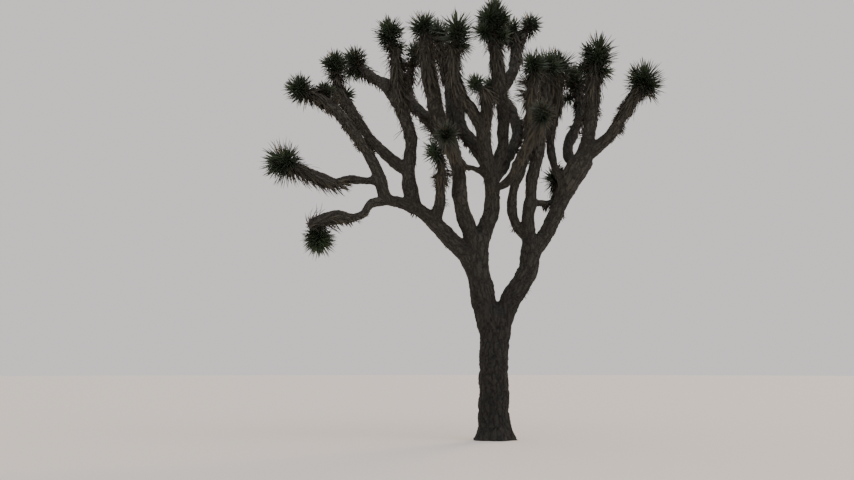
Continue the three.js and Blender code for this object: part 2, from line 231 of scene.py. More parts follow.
# The limbs, each from the one that carries it: its radius at both ends, what its last stretch gains
# (swell), and its route as (across, up, back), as in the part's source but in metres.
# A limb with a bark starts a piece of bark, to which all that grows from it belongs.
limbs = {
    "stem_left": {"on": "trunk", "radius": (0.178, 0.181), "path": [
        (-0.08, 1.72, 0), (-0.17, 2.18, -0.03), (-0.23, 2.56, -0.05), (-0.23, 3.02, -0.08)]},
    "stem_right": {"on": "trunk", "radius": (0.156, 0.16), "path": [
        (0.1, 1.68, 0), (0.21, 1.96, 0.015), (0.35, 2.22, 0.03), (0.46, 2.42, 0.04), (0.54, 2.62, 0.05),
        (0.6, 2.98, 0.06)]},
    "bough_outer_left": {"on": "stem_left", "radius": (0.156, 0.08), "bark": "barkLeft", "path": [
        (-0.23, 2.48, -0.06), (-0.41, 2.79, -0.08), (-0.62, 3, -0.11), (-0.87, 3.26, -0.17),
        (-1.14, 3.48, -0.25), (-1.42, 3.59, -0.33), (-1.66, 3.63, -0.4)]},
    "bough_left_rising": {"on": "bough_outer_left", "radius": (0.1, 0.076), "swell": 0.006, "path": [
        (-1.63, 3.62, -0.39), (-1.73, 3.94, -0.42), (-1.85, 4.25, -0.43), (-2.06, 4.56, -0.4),
        (-2.3, 4.915, -0.36), (-2.53, 5.125, -0.33), (-2.79, 5.29, -0.3)]},
    "bough_far_left": {"on": "bough_left_rising", "radius": (0.069, 0.052), "swell": 0.054, "path": [
        (-1.76, 3.93, -0.42), (-2.03, 3.935, -0.43), (-2.22, 3.955, -0.44), (-2.42, 3.895, -0.46),
        (-2.62, 3.95, -0.48), (-3.03, 4.13, -0.5)]},
    "bough_low_left": {"on": "bough_outer_left", "radius": (0.072, 0.058), "swell": 0.062, "path": [
        (-1.6, 3.62, -0.4), (-1.86, 3.58, -0.5), (-1.97, 3.43, -0.56), (-2.13, 3.35, -0.63),
        (-2.33, 3.37, -0.72), (-2.56, 3.33, -0.82), (-2.73, 3.25, -0.88)]},
    "bough_left_upright": {"on": "bough_outer_left", "radius": (0.126, 0.048), "swell": 0.048, "path": [
        (-1.19, 3.48, -0.25), (-1.28, 3.905, -0.27), (-1.27, 4.28, -0.25), (-1.25, 4.6, -0.22),
        (-1.34, 4.88, -0.2), (-1.44, 5.27, -0.2), (-1.5, 5.95, -0.2)]},
    "bough_left_crossing": {"on": "bough_left_upright", "radius": (0.102, 0.042), "swell": 0.038, "path": [
        (-1.28, 4.06, -0.27), (-1.54, 4.25, -0.15), (-1.815, 4.52, 0), (-2.055, 4.83, 0.12),
        (-2.21, 5.08, 0.2), (-2.36, 5.32, 0.26), (-2.41, 5.6, 0.3)]},
    "bough_left_side": {"on": "bough_left_upright", "radius": (0.134, 0.058), "path": [
        (-1.44, 5.18, -0.2), (-1.61, 5.395, 0.05), (-1.785, 5.5, 0.35), (-2.05, 5.7, 0.61)]},
    "bough_inner_left": {"on": "bough_outer_left", "radius": (0.102, 0.034), "swell": 0.01, "path": [
        (-0.888, 3.29, -0.17), (-0.815, 3.56, -0.3), (-0.795, 3.82, -0.5), (-0.785, 4.07, -0.7),
        (-0.8, 4.25, -0.82)]},
    "bough_left_centre": {"on": "stem_left", "radius": (0.126, 0.093), "swell": 0.03,
        "bark": "barkInnerLeft", "path": [
        (-0.28, 2.96, -0.09), (-0.44, 3.4, -0.16), (-0.51, 3.71, -0.22), (-0.515, 4.02, -0.28),
        (-0.57, 4.31, -0.32), (-0.7, 4.63, -0.4), (-0.85, 4.97, -0.46), (-0.9, 5.27, -0.49),
        (-0.975, 5.58, -0.53), (-1.02, 6.12, -0.6)]},
    "bough_left_back": {"on": "bough_left_centre", "radius": (0.138, 0.05), "path": [
        (-0.66, 4.48, -0.36), (-0.8, 4.7, -0.26), (-1, 4.9, 0), (-1.21, 5.1, 0.45), (-1.31, 5.33, 0.8),
        (-1.25, 5.7, 1.05)]},
    "bough_centre": {"on": "stem_left", "radius": (0.14, 0.08), "bark": "barkMiddle", "path": [
        (-0.205, 2.96, -0.04), (-0.04, 3.4, 0), (0.005, 3.76, -0.03), (-0.05, 4.07, -0.1),
        (-0.11, 4.41, -0.28), (-0.11, 4.72, -0.5), (-0.08, 5.07, -0.72), (-0.13, 5.33, -0.86)]},
    "bough_centre_inner": {"on": "bough_centre", "radius": (0.118, 0.072), "swell": 0.024, "path": [
        (-0.1, 4.24, -0.12), (-0.29, 4.512, 0.05), (-0.465, 4.722, 0.18), (-0.52, 5.02, 0.3),
        (-0.555, 5.35, 0.38), (-0.61, 5.63, 0.45), (-0.79, 6.01, 0.5)]},
    "bough_centre_front": {"on": "bough_centre", "radius": (0.098, 0.08), "swell": 0.022, "path": [
        (-0.08, 4.02, -0.15), (-0.135, 4.42, -0.36), (-0.185, 4.74, -0.56), (-0.305, 5, -0.7),
        (-0.47, 5.24, -0.8), (-0.58, 5.54, -0.88), (-0.61, 5.98, -0.97)]},
    "bough_middle": {"on": "bough_centre", "radius": (0.1, 0.082), "swell": 0.028, "path": [
        (-0.02, 3.98, -0.07), (0.15, 4.44, 0.05), (0.17, 4.8, 0.03), (0.15, 5.19, 0),
        (0.11, 5.51, -0.03), (0.04, 6.08, -0.08)]},
    "bough_middle_fork": {"on": "bough_middle", "radius": (0.092, 0.08), "path": [
        (0.15, 5.32, 0), (0.33, 5.66, 0.3), (0.39, 5.95, 0.55), (0.34, 6.19, 0.66)]},
    "bough_middle_spur": {"on": "bough_middle_fork", "radius": (0.052, 0.046), "path": [
        (0.38, 5.93, 0.54), (0.46, 6.14, 0.76), (0.56, 6.29, 0.9)]},
    "bough_back_middle": {"on": "bough_centre", "radius": (0.1, 0.072), "path": [
        (-0.02, 3.88, -0.05), (0.16, 4.158, 0.22), (0.304, 4.416, 0.5), (0.388, 4.692, 0.85),
        (0.29, 5.03, 1.2), (0.13, 5.25, 1.44)]},
    "bough_front_right": {"on": "bough_centre", "radius": (0.066, 0.074), "swell": 0.01, "path": [
        (0.01, 3.78, -0.04), (0.25, 3.93, -0.28), (0.39, 4.19, -0.62), (0.52, 4.44, -0.95),
        (0.64, 4.66, -1.25), (0.76, 4.87, -1.5)]},
    "bough_front_middle": {"on": "stem_right", "radius": (0.074, 0.076), "swell": 0.014,
        "bark": "barkRight", "path": [
        (0.54, 3, 0.06), (0.345, 3.27, 0.08), (0.288, 3.51, 0.06), (0.318, 3.79, 0.02),
        (0.428, 4.092, -0.06), (0.531, 4.404, -0.18), (0.58, 4.85, -0.38), (0.6, 5.19, -0.56),
        (0.65, 5.6, -0.72)]},
    "bough_right_centre": {"on": "stem_right", "radius": (0.102, 0.086), "swell": 0.024,
        "bark": "barkRight", "path": [
        (0.56, 2.93, 0.05), (0.545, 3.32, 0.03), (0.585, 3.63, 0), (0.605, 3.94, -0.03),
        (0.67, 4.21, -0.06), (0.715, 4.49, -0.08), (0.77, 4.91, -0.06), (0.83, 5.27, -0.03),
        (0.85, 5.56, 0)]},
    "bough_right_spur": {"on": "bough_right_centre", "radius": (0.05, 0.044), "path": [
        (0.59, 3.59, 0), (0.8, 3.585, 0.19), (0.955, 3.645, 0.35), (0.96, 3.88, 0.46)]},
    "bough_right": {"on": "stem_right", "radius": (0.122, 0.11), "swell": 0.07,
        "bark": "barkRight", "path": [
        (0.675, 2.9, 0.05), (0.85, 3.165, 0.06), (0.99, 3.46, 0.07), (1.08, 3.68, 0.08),
        (1.18, 3.91, 0.08), (1.28, 4.09, 0.08), (1.37, 4.23, 0.08)]},
    "bough_right_inner": {"on": "bough_right", "radius": (0.07, 0.066), "swell": 0.018, "path": [
        (1.08, 3.86, 0.08), (0.94, 4.21, 0.18), (0.9, 4.49, 0.25), (0.92, 4.75, 0.3), (0.99, 5.1, 0.36),
        (1.03, 5.56, 0.4)]},
    "bough_right_back": {"on": "bough_right", "radius": (0.088, 0.078), "path": [
        (1.25, 4.13, 0.1), (1.16, 4.41, 0.35), (1.245, 4.665, 0.6), (1.355, 4.905, 0.85),
        (1.37, 5.16, 1.1), (1.31, 5.38, 1.25)]},
    "bough_right_tall": {"on": "bough_right", "radius": (0.116, 0.092), "swell": 0.024, "path": [
        (1.34, 4.24, 0.08), (1.46, 4.53, 0.06), (1.51, 4.8, 0.04), (1.54, 5.1, 0.02), (1.555, 5.41, 0),
        (1.61, 5.69, 0)]},
    "bough_far_right": {"on": "bough_right", "radius": (0.1, 0.084), "swell": 0.014, "path": [
        (1.35, 4.23, 0.08), (1.625, 4.465, 0), (1.85, 4.675, -0.1), (2.01, 4.93, -0.18),
        (2.14, 5.16, -0.24), (2.3, 5.39, -0.29)]},
    "bough_front_left": {"on": "bough_centre", "radius": (0.046, 0.066), "swell": 0.014, "path": [
        (-0.06, 3.968, -0.11), (-0.25, 4.101, -0.23), (-0.4, 4.155, -0.43), (-0.52, 4.26, -0.74),
        (-0.61, 4.4, -1.09), (-0.69, 4.58, -1.45)]},
    "bough_back_left": {"on": "bough_left_centre", "radius": (0.084, 0.068), "swell": 0.014, "path": [
        (-0.55, 4.13, -0.29), (-0.62, 4.56, 0.2), (-0.64, 4.96, 0.65), (-0.655, 5.35, 1.1),
        (-0.74, 5.81, 1.45)]},
    "bough_back_right": {"on": "bough_right_centre", "radius": (0.08, 0.068), "swell": 0.014, "path": [
        (0.59, 3.56, 0), (0.61, 3.94, 0.5), (0.69, 4.33, 0.95), (0.77, 4.75, 1.35), (0.83, 5.15, 1.65)]},
}

# The wood: one skin over the trunk and every limb, cracked into plates
wood = {
    "ringStep": 0.05,
    "fewestRings": 8,
    "sides": 24,
    "swellFrom": 0.4,  # share of a limb's length where its swell starts, and where it is full
    "swellFull": 0.8,
    "clothedSwell": 0.8,  # share of a limb's swell that is wood where dead leaves clothe it
    "rounding": (0.35, 0.7, 0.92),  # rings of a rounded end, as shares of the way to its tip
    "startReach": 0.6,  # how far the rounded ends reach, in radii
    "endReach": 0.8,
    "voxel": 0.013,  # how fine the mesh of the skin is
    "margin": 0.4,  # the skin of a limb lies closer than this to its middle line
    "batch": 15000,  # points of the skin that are placed at once
    "collar": 0.05,  # how far the smoothing of a fork reaches from its crease
    "collarRounds": 14,
    "knobSize": 0.28,  # of the knobs and dents that an old limb has under its bark
    "knobHeight": 0.016,
    "knobNoise": (0.3, 0.7),  # what the noise mostly lies between
    "ridgeWidth": (0.05, 0.08),  # on a thin bough and on the trunk, drawn a third larger than life
    "thin": 0.07,  # radius of that thin bough, and of the trunk
    "thick": 0.23,
    "crackDepth": (0.008, 0.02),
    "stray": 0.55,  # how far ridges and checks stray, in ridge widths
    "strayTurns": 1.1,  # how often they turn in a ridge width
    # cells to a ridge, across and along; how wide a crack's side is; and its share of the depth
    "furrows": {"cells": (1, 1, 0.3), "side": 0.26, "share": 0.6},
    "checks": {"cells": (1.9, 1.9, 1.2), "side": 0.16, "share": 0.4},
    "limbShift": 17.3,  # ridges between the patterns of two limbs, so that no two are alike
}
lastRing = -1 - len(wood["rounding"])  # of a limb, before its rounded end


def smoothPath(path):
    # the part's own smooth curve through the points of a path, and each ring's share of the way
    points = np.array([place(*spot) for spot in path])
    padded = np.array([2 * points[0] - points[1], *points, 2 * points[-1] - points[-2]])
    length = np.linalg.norm(np.diff(points, axis=0), axis=1).sum()
    spot = np.linspace(0, len(points) - 1, max(wood["fewestRings"], round(length / wood["ringStep"])))
    part = np.minimum(spot.astype(int), len(points) - 2)
    w = (spot - part)[:, None]
    before, start, end, after = (padded[part + k] for k in range(4))
    leave = (end - before) / 2
    arrive = (after - start) / 2
    cubic = 2 * start - 2 * end + leave + arrive
    square = 3 * end - 3 * start - 2 * leave - arrive
    return cubic * w ** 3 + square * w ** 2 + leave * w + start, spot / (len(points) - 1)


def limbShape(centres, radii, side):
    # a limb's rings, and its own directions at each, turned along with those of the ring before
    ahead = unit(np.gradient(centres, axis=0))
    sides = []
    for direction in ahead:
        side = unit(side - direction * (side @ direction))
        sides.append(side)
    steps = np.linalg.norm(np.diff(centres, axis=0), axis=1)
    return {
        "centres": centres,
        "radii": radii,
        "ahead": ahead,
        "sides": np.array(sides),
        "others": np.cross(ahead, sides),
        "along": np.concatenate([[0], np.cumsum(steps)]),
        "rings": np.repeat(radii[:, None], wood["sides"], 1),
    }


def ringTurns():
    return np.arange(wood["sides"]) / wood["sides"] * 2 * math.pi


def trunkShape():
    heights = np.arange(-trunk["below"], trunk["forkTop"], wood["ringStep"])
    lean = trunk["lean"] * smoothstep(heights, trunk["leanFrom"], trunk["forkHeight"])
    centres = np.stack([lean, 0 * heights, heights], 1)
    spread = trunk["forkSpread"] * smoothstep(heights, trunk["spreadFrom"], trunk["forkHeight"])
    rounding = smoothstep(heights, trunk["forkHeight"], trunk["forkTop"])
    radii = (trunk["radius"] + spread) * (1 - (1 - trunk["topShare"]) * rounding)
    flare = trunk["flare"] * np.exp(-np.maximum(heights, 0) / trunk["flareHeight"])
    shape = limbShape(centres, radii + flare, np.array([1.0, 0, 0]))
    turns = ringTurns()
    lobes = 1 + trunk["lobeDepth"] * np.cos(trunk["flareLobes"] * turns + trunk["lobeTurn"])
    flat = 1 - trunk["forkFlat"] * smoothstep(heights, trunk["flatFrom"], trunk["forkHeight"])[:, None]
    oval = flat / np.hypot(flat * np.cos(turns), np.sin(turns))
    shape["rings"] = radii[:, None] * oval + flare[:, None] * lobes
    return shape


def boughShape(row, clothed=False):
    # a limb along its route, with a few more rings that round off both ends
    centres, share = smoothPath(row["path"])
    swell = row.get("swell", 0) * (wood["clothedSwell"] if clothed else 1)
    gain = swell * smoothstep(share, wood["swellFrom"], wood["swellFull"])
    start, end = row["radius"]
    radii = (start + (end - start) * share + gain) * stretchAt(centres[:, 1])
    past = np.array(wood["rounding"])
    before = past[::-1] * radii[0] * wood["startReach"]
    beyond = past * radii[-1] * wood["endReach"]
    centres = np.concatenate([
        centres[0] - unit(centres[1] - centres[0]) * before[:, None],
        centres,
        centres[-1] + unit(centres[-1] - centres[-2]) * beyond[:, None],
    ])
    rounding = np.sqrt(1 - past ** 2)
    radii = np.concatenate([radii[0] * rounding[::-1], radii, radii[-1] * rounding])
    return limbShape(centres, radii, np.array([0, 1.0, 0]))


def shapeLimbs():
    clothed = {fullHead(name)["on"] for name in heads}
    made = {"trunk": trunkShape()}
    for name, row in limbs.items():
        made[name] = boughShape(row, name in clothed)
    return made


def skinOver(shape):
    # the points and faces of a closed tube through a limb's rings
    turns = ringTurns()[None, :, None]
    outward = np.cos(turns) * shape["sides"][:, None] + np.sin(turns) * shape["others"][:, None]
    rings = shape["centres"][:, None] + outward * shape["rings"][:, :, None]
    count, sides = shape["rings"].shape
    points = np.concatenate([rings.reshape(-1, 3), shape["centres"][[0, -1]]])
    step = np.arange(sides)
    after = (step + 1) % sides
    faces = []
    for ring in range(count - 1):
        low = ring * sides
        high = low + sides
        faces.append(np.stack([low + step, low + after, high + after], 1))
        faces.append(np.stack([low + step, high + after, high + step], 1))
    first = count * sides
    last = (count - 1) * sides
    faces.append(np.stack([first + 0 * step, after, step], 1))
    faces.append(np.stack([first + 1 + 0 * step, last + step, last + after], 1))
    return points, np.concatenate(faces)


def skinMesh():
    # one closed skin over the trunk, the limbs and the webs of the fork
    parts = [skinOver(shape) for shape in shapes.values()]
    for path in crotch["webs"]:
        points, faces = skinOver(boughShape({"path": path, "radius": (crotch["radius"],) * 2}))
        parts.append((points * (1, crotch["depth"], 1), faces))
    skin = addObject("skin", meshFrom("skin", *joinParts(parts)))
    remesh = skin.modifiers.new("skin", "REMESH")
    remesh.mode = "VOXEL"
    remesh.voxel_size = wood["voxel"]
    return evaluated(skin)


def nearestOnLimb(points, shape):
    # how far each point is from the limb's skin, and its place in the limb's own straightened space
    start = shape["centres"][:-1]
    step = np.diff(shape["centres"], axis=0)
    reach = points[:, None] - start
    share = np.clip((reach * step).sum(2) / (step * step).sum(1), 0, 1)
    radii = shape["radii"][:-1] + np.diff(shape["radii"]) * share
    apart = np.linalg.norm(reach - step * share[:, :, None], axis=2) - radii
    best = apart.argmin(1)
    rows = np.arange(len(points))
    part = share[rows, best][:, None]
    offset = reach[rows, best] - step[best] * part
    side = shape["sides"][best] * (1 - part) + shape["sides"][best + 1] * part
    other = shape["others"][best] * (1 - part) + shape["others"][best + 1] * part
    along = shape["along"][best] + np.diff(shape["along"])[best] * part[:, 0]
    return apart[rows, best], np.stack([(offset * side).sum(1), (offset * other).sum(1), along], 1)


def barkPlaces(points):
    # for each point of the skin: its limb, its place counted in ridges, the depth of its cracks, and
    # how near it is to the crease of a fork
    owner = np.zeros(len(points), int)
    nearest = np.full(len(points), np.inf)
    second = np.full(len(points), np.inf)
    places = np.zeros((len(points), 3))
    depth = np.zeros(len(points))
    narrow, wide = wood["ridgeWidth"]
    shallow, deep = wood["crackDepth"]
    for index, shape in enumerate(shapes.values()):
        girth = (shape["radii"].mean() - wood["thin"]) / (wood["thick"] - wood["thin"])
        girth = min(max(girth, 0), 1)
        low = shape["centres"].min(0) - wood["margin"]
        high = shape["centres"].max(0) + wood["margin"]
        near = np.flatnonzero(((points > low) & (points < high)).all(1))
        for few in np.array_split(near, max(1, len(near) // wood["batch"])):
            apart, straight = nearestOnLimb(points[few], shape)
            closer = apart < nearest[few]
            second[few] = np.where(closer, nearest[few], np.minimum(second[few], apart))
            few = few[closer]
            owner[few] = index
            nearest[few] = apart[closer]
            places[few] = straight[closer] / (narrow + (wide - narrow) * girth) + wood["limbShift"] * index
            depth[few] = shallow + (deep - shallow) * girth
    collar = 1 - smoothstep(second - nearest, 0, wood["collar"])
    return owner, places, depth * (1 - collar), collar


def crackNodes(tree, placeSocket):
    # the same cracks for the relief and for the paint: from 0 deep in a crack to 1 on a ridge
    stray = addNode(tree, "ShaderNodeTexNoise", {},
                    {"Scale": wood["strayTurns"], "Detail": 2, "Vector": placeSocket})
    strayed = addNode(tree, "ShaderNodeVectorMath", {"operation": "MULTIPLY_ADD"},
                      {0: stray.outputs["Color"], 1: (2 * wood["stray"],) * 3, 2: placeSocket})
    heights = []
    for crack in (wood["furrows"], wood["checks"]):
        cells = addNode(tree, "ShaderNodeVectorMath", {"operation": "MULTIPLY"},
                        {0: strayed.outputs["Vector"], 1: crack["cells"]})
        edge = addNode(tree, "ShaderNodeTexVoronoi", {"feature": "DISTANCE_TO_EDGE"},
                       {"Scale": 1, "Vector": cells.outputs["Vector"]})
        side = addNode(tree, "ShaderNodeMapRange", {"interpolation_type": "SMOOTHSTEP"},
                       {"From Max": crack["side"], "To Max": crack["share"],
                        "Value": edge.outputs["Distance"]})
        heights.append(side.outputs["Result"])
    both = addNode(tree, "ShaderNodeMath", {"operation": "ADD"}, {0: heights[0], 1: heights[1]})
    return both.outputs["Value"], strayed.outputs["Vector"]


def reliefNodes():
    # first the creases of the forks are rubbed smooth, then the skin gets its knobs and cracks
    tree = bpy.data.node_groups.new("barkRelief", "GeometryNodeTree")
    for way in ("INPUT", "OUTPUT"):
        tree.interface.new_socket("Geometry", in_out=way, socket_type="NodeSocketGeometry")
    given = addNode(tree, "NodeGroupInput")
    where = addNode(tree, "GeometryNodeInputPosition")
    own, depth, collar = (
        addNode(tree, "GeometryNodeInputNamedAttribute", {"data_type": kind}, {"Name": name})
        for name, kind in (("barkPlace", "FLOAT_VECTOR"), ("barkDepth", "FLOAT"), ("barkCollar", "FLOAT"))
    )
    blur = addNode(tree, "GeometryNodeBlurAttribute", {"data_type": "FLOAT_VECTOR"},
                   {"Iterations": wood["collarRounds"], "Value": where.outputs["Position"],
                    "Weight": collar.outputs["Attribute"]})
    smooth = addNode(tree, "GeometryNodeSetPosition", {},
                     {"Geometry": given.outputs["Geometry"], "Position": blur.outputs["Value"]})
    ridge, strayed = crackNodes(tree, own.outputs["Attribute"])
    crack = addNode(tree, "ShaderNodeMath", {"operation": "SUBTRACT"}, {0: ridge, 1: 1})
    sunk = addNode(tree, "ShaderNodeMath", {"operation": "MULTIPLY"},
                   {0: crack.outputs["Value"], 1: depth.outputs["Attribute"]})
    knobs = addNode(tree, "ShaderNodeTexNoise", {},
                    {"Scale": 1 / wood["knobSize"], "Detail": 3, "Vector": where.outputs["Position"]})
    low, high = wood["knobNoise"]
    raised = addNode(tree, "ShaderNodeMapRange", {"clamp": False},
                     {"Value": knobs.outputs["Fac"], "From Min": low, "From Max": high,
                      "To Min": -wood["knobHeight"], "To Max": wood["knobHeight"]})
    lift = addNode(tree, "ShaderNodeMath", {"operation": "ADD"},
                   {0: sunk.outputs["Value"], 1: raised.outputs["Result"]})
    facing = addNode(tree, "GeometryNodeInputNormal")
    offset = addNode(tree, "ShaderNodeVectorMath", {"operation": "SCALE"},
                     {"Vector": facing.outputs["Normal"], "Scale": lift.outputs["Value"]})
    moved = addNode(tree, "GeometryNodeSetPosition", {},
                    {"Geometry": smooth.outputs["Geometry"], "Offset": offset.outputs["Vector"]})
    addNode(tree, "NodeGroupOutput", {}, {"Geometry": moved.outputs["Geometry"]})
    return tree


# Living cork on an old yucca: grown, weathered grey-brown and cracked into plates. It gives the eye a
# matt skin with dark cracks, where each plate has its own tone and a fine grain along the limb.
corkBark = {
    "crack": "#171410",
    "ridge": "#302e27",
    "paleRidge": "#46433a",
    "roughness": (0.97, 0.82),  # in a crack and on a ridge
    "grain": (9, 9, 2.4),  # fibres to a ridge, across and along: 6 to 9 mm wide, coarser than life to show
    "grainRelief": 0.5,  # how high they stand, as a share of a ridge
    "patch": 2.2,  # weathered patches to a metre
    "pale": (0.13, 0.4),  # grain times patch, from where a ridge turns pale to where it is palest
    "foot": 0.45,  # painted shade: the bark on the trunk is darkened to this share
    "paintedFootShade": (1.6, 4.3),  # metres above the ground, where that ends
    "bump": 0.004,
    "bumpStrength": 0.9,
}


def paintBark():
    material, tree, shader = newMaterial("weatheredCorkBark", corkBark["ridge"], corkBark["roughness"][0])
    own = addNode(tree, "ShaderNodeAttribute", {"attribute_name": "barkPlace"})
    ridge, strayed = crackNodes(tree, own.outputs["Vector"])
    stretched = addNode(tree, "ShaderNodeVectorMath", {"operation": "MULTIPLY"},
                        {0: strayed, 1: corkBark["grain"]})
    grain = addNode(tree, "ShaderNodeTexNoise", {},
                    {"Scale": 1, "Detail": 5, "Roughness": 0.65, "Vector": stretched.outputs["Vector"]})
    where = addNode(tree, "ShaderNodeNewGeometry")
    patches = addNode(tree, "ShaderNodeTexNoise", {},
                      {"Scale": corkBark["patch"], "Detail": 3, "Vector": where.outputs["Position"]})
    # the ridges are palest where a patch and its fibres both are
    pale = addNode(tree, "ShaderNodeMath", {"operation": "MULTIPLY"},
                   {0: grain.outputs["Fac"], 1: patches.outputs["Fac"]})
    low, high = corkBark["pale"]
    share = addNode(tree, "ShaderNodeMapRange", {"interpolation_type": "SMOOTHSTEP"},
                    {"Value": pale.outputs["Value"], "From Min": low, "From Max": high})
    shade = addNode(tree, "ShaderNodeMix", {"data_type": "RGBA"},
                    {"Factor": share.outputs["Result"], "A": linear(corkBark["ridge"]),
                     "B": linear(corkBark["paleRidge"])})
    colour = addNode(tree, "ShaderNodeMix", {"data_type": "RGBA"},
                     {"Factor": ridge, "A": linear(corkBark["crack"]), "B": shade.outputs["Result"]})
    # and all of it is darkened towards the foot, as painted shade
    split = addNode(tree, "ShaderNodeSeparateXYZ", {}, {"Vector": where.outputs["Position"]})
    low, high = corkBark["paintedFootShade"]
    # painted shade: the bark's colour is scaled down from this height to the ground
    paintedFootShade = addNode(tree, "ShaderNodeMapRange", {"interpolation_type": "SMOOTHSTEP"},
                   {"Value": split.outputs["Z"], "From Min": low, "From Max": high,
                    "To Min": corkBark["foot"]})
    painted = addNode(tree, "ShaderNodeVectorMath", {"operation": "SCALE"},
                      {"Vector": colour.outputs["Result"], "Scale": paintedFootShade.outputs["Result"]})
    low, high = corkBark["roughness"]
    rough = addNode(tree, "ShaderNodeMapRange", {}, {"Value": ridge, "To Min": low, "To Max": high})
    height = addNode(tree, "ShaderNodeMath", {"operation": "MULTIPLY_ADD"},
                     {0: grain.outputs["Fac"], 1: corkBark["grainRelief"], 2: ridge})
    bump = addNode(tree, "ShaderNodeBump", {},
                   {"Strength": corkBark["bumpStrength"], "Distance": corkBark["bump"],
                    "Height": height.outputs["Value"]})
    tree.links.new(painted.outputs["Vector"], shader.inputs["Base Color"])
    tree.links.new(rough.outputs["Result"], shader.inputs["Roughness"])
    tree.links.new(bump.outputs["Normal"], shader.inputs["Normal"])
    return material


def groupOf(name):
    # the piece of bark that a limb belongs to: the stems' own, or that of the main bough it grows from
    while name in limbs and limbs[name]["on"] not in ("trunk", "stem_left", "stem_right"):
        name = limbs[name]["on"]
    return limbs.get(name, {}).get("bark", "barkTrunk")


def closeCuts(mesh):
    # saws the foot off flat at the ground, and caps it and each cut where a piece passes into the next
    work = bmesh.new()
    work.from_mesh(mesh)
    for face in work.faces:
        face.smooth = True
    bmesh.ops.bisect_plane(work, geom=[*work.verts, *work.edges, *work.faces],
                           plane_co=(0, 0, 0), plane_no=(0, 0, 1), clear_inner=True)
    rims = [edge for edge in work.edges if edge.is_boundary]
    caps = bmesh.ops.holes_fill(work, edges=rims)["faces"]
    for sharp in [*rims, *caps]:
        sharp.smooth = False
    work.to_mesh(mesh)
    work.free()


def splitBark(relief, owner, places):
    # a closed piece for each main bough with all that grows from it, and one for the trunk and stems
    points = pointsOf(relief)
    corners = np.empty(len(relief.polygons) * 4, np.int32)
    relief.loops.foreach_get("vertex_index", corners)
    corners = corners.reshape(-1, 4)
    material = paintBark()
    groups = [groupOf(name) for name in shapes]
    names = sorted(set(groups))
    faceGroup = np.array([names.index(group) for group in groups])[owner][corners].max(1)
    for index, name in enumerate(names):
        used, faces = np.unique(corners[faceGroup == index], return_inverse=True)
        piece = meshFrom(name, points[used], faces.reshape(-1, 4))
        addAttribute(piece, "barkPlace", "FLOAT_VECTOR", places[used])
        closeCuts(piece)
        piece.materials.append(material)
        own = [limb for limb, group in zip(shapes, groups) if group == name]
        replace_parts(addPiece(name, piece), *own)


def growBark():
    skin = skinMesh()
    owner, places, depth, collar = barkPlaces(pointsOf(skin).astype(float))
    print("wood skin:", len(owner), "points")
    addAttribute(skin, "barkPlace", "FLOAT_VECTOR", places)
    addAttribute(skin, "barkDepth", "FLOAT", depth)
    addAttribute(skin, "barkCollar", "FLOAT", collar)
    whole = addObject("whole", skin)
    whole.modifiers.new("barkRelief", "NODES").node_group = reliefNodes()
    splitBark(evaluated(whole), owner, places)


# The living leaves: daggers round the end of each shoot, the young ones upright in the middle and the
# old ones bent back
dagger = {
    "seed": 7,
    "leaves": 150,  # on a shoot of this radius
    "onRadius": 0.2,
    "width": 0.027,  # drawn half as wide again as life, so that fewer fill a head
    "thickness": 0.01,
    "reach": (0.78, 0.11),  # the mean reach of the tips: this share of the shoot's radius, and this more
    "uneven": (0.7, 1.16),  # the shortest and the longest, as shares of that
    "widest": 148,  # degrees from the shoot's tip to its lowest leaf
    "stray": 0.06,  # how far leaves leave their even rows
    "sag": 0.4,  # how far the oldest tips hang, as a share of their reach
    "seats": (0.75, 0.5),  # how far short of the shoot's tip and foot its leaves start and end, in radii
    "seatOut": 0.02,  # how far from the shoot's middle line they grow
    "ages": (0.14, 0.5, 0.82, 0.97),  # where young leaves pass into green, dark, old and straw ones
    "mixedAges": 0.12,
    "paintedShadeHeadAge": 0.75,  # the age whose paints every leaf is dealt in a head wholly in painted shade
    "spineEvery": 3,  # one leaf in so many shows its brown spine
    "bend": 0.05,
    # how far along the blade, and its width and thickness there as shares of the whole
    "stations": ((0, 1, 0.8), (0.3, 0.78, 1), (0.75, 0.48, 0.7)),
    "section": ((-0.5, 0.35), (0, 0.1), (0.5, 0.35), (0, -0.6)),
}
# Each head is a main shoot and the side shoots that fork off it by golden turns
shoot = {
    "fringe": 0.05,  # a head's radius is this much more than its dense core's
    "sideShoots": 10,  # for each metre of the head's half length
    "fork": (35, 65),  # degrees from the main shoot
    "from": (-0.55, 0.15),  # where they leave it, in half lengths from its middle
    "length": (0.4, 0.6),  # shares of the head's radius
    "size": (0.5, 0.7),
    "girth": 0.035,
    "start": 0.7,  # share of its bough's girth that a main shoot starts with
    "end": 0.018,
    "coreEnd": 0.7,  # how far short of the shoot's tip its wood ends, in radii
    "coreRings": 10,
}
goldenTurn = math.pi * (3 - math.sqrt(5))
slant = np.array((0.3, 0.9, 0.2))  # a direction that no shoot takes, from which its sides are worked out
